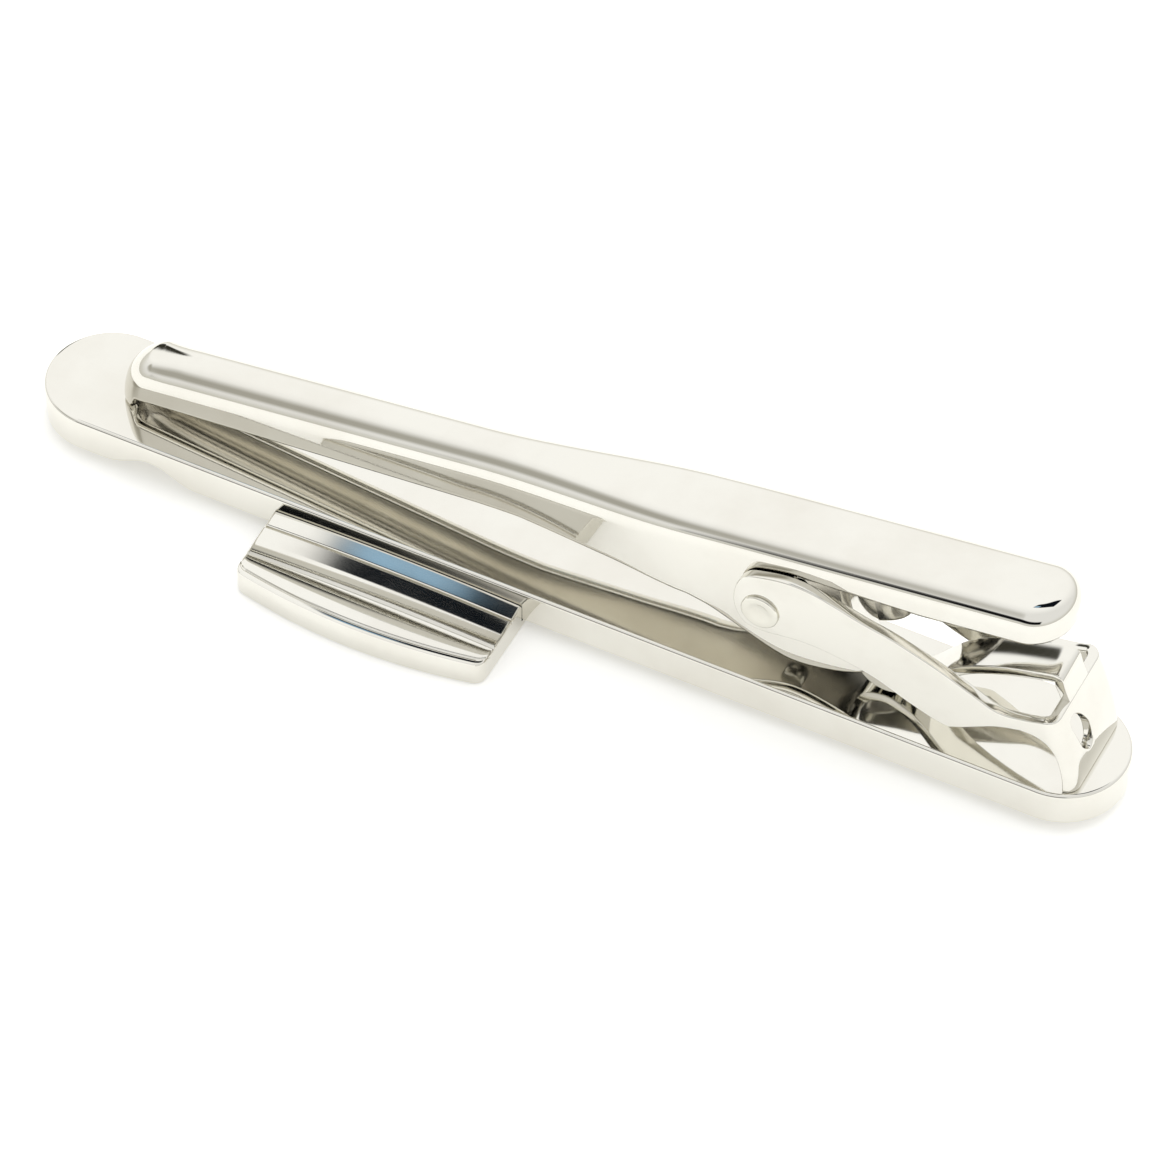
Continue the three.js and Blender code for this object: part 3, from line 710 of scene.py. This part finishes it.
def make_arm(finish, inside_finish_painted_light):
    near = arm_columns()
    loop = near + [(x, -y) for x, y in near[-2:0:-1]]
    count = len(loop)
    # The loop runs clockwise, so its way out is the other way round
    ways = [(-wx, -wy) for wx, wy in outward(loop)]
    ear = ear_line()
    ear_from, ear_to = PIVOT.x + EAR_BACK, PIVOT.x + EAR_FRONT
    feet = []
    for x, y in loop:
        if ear_to < x < ear_from:
            share = (x - ear_to) / (ear_from - ear_to)
            k = min(int(share * (len(ear) - 1)), len(ear) - 2)
            (ax, az), (bx, bz) = ear[k], ear[k + 1]
            length = math.hypot(bx - ax, bz - az) or 1.0
            feet.append((ax, az, (bz - az) / length, -(bx - ax) / length, 1.0))
        else:
            z = open_edge(x)
            if x < JAW_X + LIP_LENGTH + 0.2:
                z += teeth(y)
            feet.append((x, z, 0.0, -1.0, 0.0))
    wall_rows, bend_rows, rim_rows = 12, 10, 6

    def skin(depth):
        """Rows from the foot up to the flat of the top, depth millimetres under the outer skin."""
        rows = []
        for r in range(wall_rows):
            share = r / wall_rows
            row = []
            for (x, y), (wx, wy), (fx, fz, ex, ez, eared) in zip(loop, ways, feet):
                radius = top_radius(x)
                shoulder = crown(x) - radius
                foot_x, foot_z = fx - ex * RIM_ROLL, fz - ez * RIM_ROLL
                px = mix(foot_x, x, share)
                pz = mix(foot_z, shoulder, share)
                step = 0.0
                if eared:
                    edge_z = PIVOT.z - 1.35 + 0.55 * max(0.0, px - PIVOT.x)
                    step = EAR_STEP * (1 - smoothstep(pz, edge_z - 0.9, edge_z))
                inset = depth + step
                tuck = wall_tuck(x) * (shoulder - pz) / arm_half_width(x)
                row.append((px - wx * inset, (y - wy * inset) * (1 - tuck), pz))
            rows.append(row)
        for a in quarter_turn(bend_rows):
            row = []
            for (x, y), (wx, wy) in zip(loop, ways):
                radius = top_radius(x)
                inner = max(radius - depth, 0.15)
                reach = mix(min(inner, 0.9), inner, smoothstep(x, JAW_X, JAW_X + 3.5))
                inset = depth + reach * (1 - math.cos(a))
                px, py = x - wx * inset, y - wy * inset
                row.append((px, py, crown(px) - depth - inner * (1 - math.sin(a))))
            rows.append(row)
        return rows

    outer, inner = skin(0.0), skin(ARM_SHEET)
    rim = []
    for k in range(1, rim_rows):
        a = math.pi * k / rim_rows
        row = []
        for p, q, (_, _, ex, ez, _) in zip(outer[0], inner[0], feet):
            across = (1 - math.cos(a)) / 2
            out = RIM_ROLL * math.sin(a) ** 0.6
            x, y, z = (mix(outside, within, across) for outside, within in zip(p, q))
            row.append((x + ex * out, y, z + ez * out))
        rim.append(row)
    rows = list(reversed(outer)) + rim + inner
    rows = [[(x + set_back(x, z), y, z) for x, y, z in row] for row in rows]
    points, faces = skin_rings(rows)
    lined = list(range((len(outer) + len(rim)) * count, len(faces)))
    faces += across_ring(0, count)
    lined += range(len(faces), len(faces) + count // 2)
    faces += across_ring((len(rows) - 1) * count, count)
    # The channel's inside takes the plating whose colour is painted lighter, painted light inside
    # the channel
    return piece(
        "pinch_arm", points, faces, finish, "arm", ["clip_arm"], 50.0,
        (inside_finish_painted_light, lined),
    )


# ---- rivets ----

SHANK_RADIUS = 0.6
HEAD_RADIUS = 1.0
RIVET_TURNS = 56


def make_rivet(side, finish):
    """side is -1 for the near rivet and 1 for the far one."""
    seat = BRACKET_HALF_WIDTH + 0.005
    head = abs(from_back(rivet_low).y)
    tip = ARM_HALF_WIDTH - 0.08 - ARM_SHEET - 0.35
    shank = SHANK_RADIUS
    section = [(0.0, tip), (shank - 0.1, tip), (shank, tip + 0.1), (shank, seat), (0.97, seat)]
    section += [(HEAD_RADIUS, seat + 0.03), (HEAD_RADIUS, head - 0.07), (0.975, head - 0.03)]
    section += [(0.93, head - 0.004), (0.86, head), (0.66, head - 0.008), (0.6, head - 0.015)]
    section += [(0.54, head - 0.04), (0.42, head - 0.075), (0.22, head - 0.1), (0.0, head - 0.105)]
    rings = []
    for r, y in section:
        ring = []
        for k in range(RIVET_TURNS):
            a = 2 * math.pi * k / RIVET_TURNS
            ring.append((PIVOT.x + r * math.cos(a), side * y, PIVOT.z + r * math.sin(a)))
        rings.append(ring)
    points, faces = skin_rings(rings)
    name, node = ("near_rivet", "rivet_near") if side < 0 else ("far_rivet", "rivet_far")
    return piece(name, points, faces, finish, "frame", [node], 45.0)


# ---- finishes ----


def linear(hex_colour):
    """An sRGB hex colour as the linear values that a socket takes."""
    values = []
    for i in (1, 3, 5):
        v = int(hex_colour[i : i + 2], 16) / 255
        values.append(v / 12.92 if v <= 0.04045 else ((v + 0.055) / 1.055) ** 2.4)
    return (*values, 1.0)


def add(tree, kind, settings=None, **sockets):
    """Adds a node: settings are its own options, and each socket takes a value or another's output.
    A socket is named with _ for a space, or numbered, such as i0 for its first."""
    node = tree.nodes.new(kind)
    for key, value in (settings or {}).items():
        setattr(node, key, value)
    for key, value in sockets.items():
        numbered = key[0] == "i" and key[1:].isdigit()
        socket = node.inputs[int(key[1:]) if numbered else key.replace("_", " ")]
        if isinstance(value, bpy.types.NodeSocket):
            tree.links.new(value, socket)
        else:
            socket.default_value = value
    return node


WIPE_MM = 6
WAVE_MM = 3
WAVE_DEPTH_MM = 0.006


def plated(name, bright, tarnish, roughness, line_mm, line_depth_mm, along, haze):
    """A polished plated metal: bright and tarnish are its colours on clean metal and in its dull
    patches, line_mm is how far apart the finest polishing lines lie, along is how much they are
    drawn out on each axis, and haze is how much duller the patches are."""
    finish = bpy.data.materials.new(name)
    finish.use_nodes = True
    tree = finish.node_tree
    tree.nodes.clear()
    place = add(tree, "ShaderNodeTexCoord").outputs["Object"]
    # Wipe marks: patches about 6 mm across where the shine is a little softer
    wiped = add(
        tree, "ShaderNodeTexNoise", Vector=place, Scale=1 / (WIPE_MM * MM), Detail=4.0,
        Roughness=0.6,
    )
    patches = add(
        tree, "ShaderNodeMapRange", Value=wiped.outputs["Fac"], From_Min=0.42, From_Max=0.72,
        To_Min=0.0, To_Max=1.0,
    ).outputs["Result"]
    # Hairlines left by the polishing wheel, drawn coarser than real ones so that they show
    stretch = add(tree, "ShaderNodeMapping", Vector=place, Scale=along)
    hairs = add(
        tree, "ShaderNodeTexNoise", Vector=stretch.outputs["Vector"], Scale=1 / (line_mm * MM),
        Detail=3.0, Roughness=0.55,
    ).outputs["Fac"]
    # The faint waviness that hand polishing leaves, about 3 mm from crest to crest
    waves = add(
        tree, "ShaderNodeTexNoise", Vector=place, Scale=1 / (WAVE_MM * MM), Detail=1.0
    )
    wave_bump = add(
        tree, "ShaderNodeBump", Height=waves.outputs["Fac"], Strength=0.25,
        Distance=WAVE_DEPTH_MM * MM,
    )
    hair_bump = add(
        tree, "ShaderNodeBump", Height=hairs, Strength=0.2, Distance=line_depth_mm * MM,
        Normal=wave_bump.outputs["Normal"],
    )
    colour = add(
        tree, "ShaderNodeMix", {"data_type": "RGBA"}, i0=patches, i6=linear(bright),
        i7=linear(tarnish),
    )
    shine = add(
        tree, "ShaderNodeMapRange", Value=patches, From_Min=0.0, From_Max=1.0,
        To_Min=roughness, To_Max=roughness + haze,
    )
    hair_shine = add(
        tree, "ShaderNodeMath", {"operation": "MULTIPLY_ADD"}, i0=hairs, i1=haze * 0.6,
        i2=shine.outputs["Result"],
    )
    metal = add(
        tree, "ShaderNodeBsdfPrincipled", Base_Color=colour.outputs[2],
        Roughness=hair_shine.outputs["Value"], Normal=hair_bump.outputs["Normal"], Metallic=1.0,
    )
    add(tree, "ShaderNodeOutputMaterial", Surface=metal.outputs["BSDF"])
    return finish


# Bright nickel plating on brass, buffed to a mirror: each bounce dims it a little and warms it
mirror_plate = plated(
    "buffed nickel plating", "#E4E2DA", "#DEDBD2", 0.035, 0.35, 0.0002, (0.06, 1.0, 1.0), 0.03
)
# The same plating on a cast plaque: a softer mirror with the cast skin's faint pits
cast_plate = plated(
    "nickel plating on casting", "#E3E1D9", "#DCD9D0", 0.05, 0.4, 0.0003, (0.1, 1.0, 1.0), 0.04
)
# Plated stamped sheet: barrel polished, so it has a satin haze and no one direction
sheet_plate = plated(
    "barrel-polished nickel sheet", "#E3E1D9", "#DAD7CE", 0.06, 0.5, 0.0006, (1.0, 1.0, 1.0), 0.05
)
# The inside of the arm's channel, which no wheel reaches: plated as pressed, so it only glows. Its
# colours are painted lighter than the other plating's: painted light inside the channel
inside_plate_painted_light = plated(
    "nickel plating as pressed, painted lighter", "#F6F4EE", "#EFECE4", 0.16, 0.5, 0.001, (1.0, 1.0, 1.0), 0.06
)
# A turned rivet head: plated steel, with rings left by the tool
rivet_plate = plated(
    "turned rivet", "#DFDDD3", "#D0CDC2", 0.1, 0.25, 0.0016, (1.0, 0.2, 1.0), 0.06
)

make_bar(mirror_plate)
make_plaque(cast_plate)
make_bracket(sheet_plate)
make_tongue(sheet_plate)
make_arm(mirror_plate, inside_plate_painted_light)
make_rivet(-1, rivet_plate)
make_rivet(1, rivet_plate)


# ---- floor, light and camera ----

# Places and sizes here are in metres
FLOOR_HALF_SIZE = 1.5
FLOOR_GAP = 0.02 * MM
SOFTBOX_PLACE = Vector((0.05, 0.25, 0.7))
SOFTBOX_SIZE = (0.7, 0.5)
SOFTBOX_WATTS = 1.2
BRIGHT_SIDE = (-0.37, 0.6, 0.71)
# What hangs in the tent: colour, softness, and the directions from the clip that it fills
PANELS = [
    # a grey flag to the front, on the jaw's side
    ("#BDBBB3", 0.1, {"X": (-0.9, -0.42), "Y": (-0.9, -0.2), "Z": (0.45, 0.75)}),
    # a dark strip low behind, which the tongue mirrors
    ("#33322B", 0.02, {"X": (-0.9, -0.56), "Y": (0.61, 0.72), "Z": (0.1, 0.54)}),
    # the gap in front
    ("#0C0E10", 0.04, {"X": (-0.43, 0.5), "Y": (-1.2, -0.3), "Z": (0.18, 0.42)}),
    # a dark rail overhead and the window's light on it, which the plaque's bands mirror
    ("#0B1016", 0.015, {"X": (-0.36, 0.2), "Y": (0.2, 0.47), "Z": (0.6, 1.2)}),
    ("#93B7D4", 0.015, {"X": (-0.35, -0.262), "Y": (0.22, 0.335), "Z": (0.6, 1.2)}),
]
AZIMUTH, ELEVATION, ROLL = math.radians(25.94), math.radians(47.84), math.radians(1.14)
DISTANCE = 344.83 * MM
SENSOR_MM, LENS_MM = 36.0, 212.77
SHIFT = (0.00734, -0.0237)


def make_floor():
    """A sheet of pale paper just under the clip, which glows a little so that it stays white."""
    mesh = bpy.data.meshes.new("floor")
    made = bmesh.new()
    bmesh.ops.create_grid(made, x_segments=8, y_segments=8, size=FLOOR_HALF_SIZE)
    made.to_mesh(mesh)
    made.free()
    floor = bpy.data.objects.new("floor", mesh)
    bpy.context.scene.collection.objects.link(floor)
    floor.location = (0.0, 0.0, cad_box[0][2] - FLOOR_GAP)
    paper = bpy.data.materials.new("pale paper")
    paper.use_nodes = True
    shader = paper.node_tree.nodes["Principled BSDF"]
    shader.inputs["Base Color"].default_value = linear("#FBFBFA")
    shader.inputs["Roughness"].default_value = 0.9
    shader.inputs["Specular IOR Level"].default_value = 0.1
    shader.inputs["Emission Color"].default_value = linear("#FFFFFC")
    shader.inputs["Emission Strength"].default_value = 0.26
    mesh.materials.append(paper)


def hang_softbox():
    """The one lamp, high over the clip and a little behind it, which the metal doesn't mirror."""
    lamp = bpy.data.lights.new("overhead softbox", "AREA")
    lamp.shape = "RECTANGLE"
    lamp.size, lamp.size_y = SOFTBOX_SIZE
    lamp.energy = SOFTBOX_WATTS
    softbox = bpy.data.objects.new("overhead softbox", lamp)
    bpy.context.scene.collection.objects.link(softbox)
    softbox.location = back_middle + SOFTBOX_PLACE
    softbox.rotation_mode = "QUATERNION"
    softbox.rotation_quaternion = (-SOFTBOX_PLACE).to_track_quat("-Z", "Y")
    softbox.visible_glossy = False


def hang_panel(tree, way, under, colour, soft, **sides):
    """Hangs a patch of colour over what is under it and gives back both. The patch lies between two
    values of each axis named, and its edges fade over soft to either side."""
    shape = 1.0
    for axis, limits in sides.items():
        for limit, before, after in zip(limits, (0.0, 1.0), (1.0, 0.0)):
            edge = add(
                tree, "ShaderNodeMapRange", {"interpolation_type": "SMOOTHSTEP"},
                Value=way.outputs[axis], From_Min=limit - soft, From_Max=limit + soft,
                To_Min=before, To_Max=after,
            )
            shape = add(
                tree, "ShaderNodeMath", {"operation": "MULTIPLY"}, i0=shape,
                i1=edge.outputs["Result"],
            ).outputs["Value"]
    patched = add(
        tree, "ShaderNodeMix", {"data_type": "RGBA"}, i0=shape, i6=under, i7=linear(colour)
    )
    return patched.outputs[2]


def make_studio():
    """A white tent, brightest high behind, with what hangs in it and the gap where it opens."""
    world = bpy.data.worlds.new("studio")
    bpy.context.scene.world = world
    world.use_nodes = True
    tree = world.node_tree
    tree.nodes.clear()
    round_about = add(tree, "ShaderNodeTexCoord").outputs["Generated"]
    way = add(tree, "ShaderNodeSeparateXYZ", Vector=round_about)
    behind = add(
        tree, "ShaderNodeVectorMath", {"operation": "DOT_PRODUCT"}, i0=round_about,
        i1=BRIGHT_SIDE,
    )
    glow = add(
        tree, "ShaderNodeMapRange", {"interpolation_type": "SMOOTHSTEP"},
        Value=behind.outputs["Value"], From_Min=0.35, From_Max=0.95, To_Min=0.95, To_Max=1.2,
    )
    low = add(
        tree, "ShaderNodeMapRange", {"interpolation_type": "SMOOTHSTEP"},
        Value=way.outputs["Z"], From_Min=0.0, From_Max=0.35, To_Min=1.0, To_Max=0.0,
    )
    tent = add(
        tree, "ShaderNodeMix", {"data_type": "RGBA"}, i0=low.outputs["Result"],
        i6=linear("#FFFFFF"), i7=linear("#E4E3DC"),
    ).outputs[2]
    for colour, soft, sides in PANELS:
        tent = hang_panel(tree, way, tent, colour, soft, **sides)
    back = add(tree, "ShaderNodeBackground", Color=tent, Strength=glow.outputs["Result"])
    add(tree, "ShaderNodeOutputWorld", Surface=back.outputs["Background"])


def place_camera():
    """Looks down on the bar's near side from a little to the bracket's end."""
    back = Vector(
        (
            math.sin(AZIMUTH) * math.cos(ELEVATION),
            -math.cos(AZIMUTH) * math.cos(ELEVATION),
            math.sin(ELEVATION),
        )
    )
    right = Vector((math.cos(AZIMUTH), math.sin(AZIMUTH), 0.0))
    tilt = Matrix.Rotation(ROLL, 3, back)
    right, up = tilt @ right, tilt @ back.cross(right)
    lens = bpy.data.cameras.new("camera")
    lens.sensor_width, lens.lens = SENSOR_MM, LENS_MM
    lens.shift_x, lens.shift_y = SHIFT
    lens.clip_start, lens.clip_end = 0.01, 10.0
    camera = bpy.data.objects.new("camera", lens)
    bpy.context.scene.collection.objects.link(camera)
    turn = Matrix((right, up, back)).transposed()
    camera.matrix_world = Matrix.Translation(back_middle + back * DISTANCE) @ turn.to_4x4()
    bpy.context.scene.camera = camera


make_floor()
make_studio()
hang_softbox()
place_camera()
bpy.context.scene.view_settings.view_transform = "Standard"
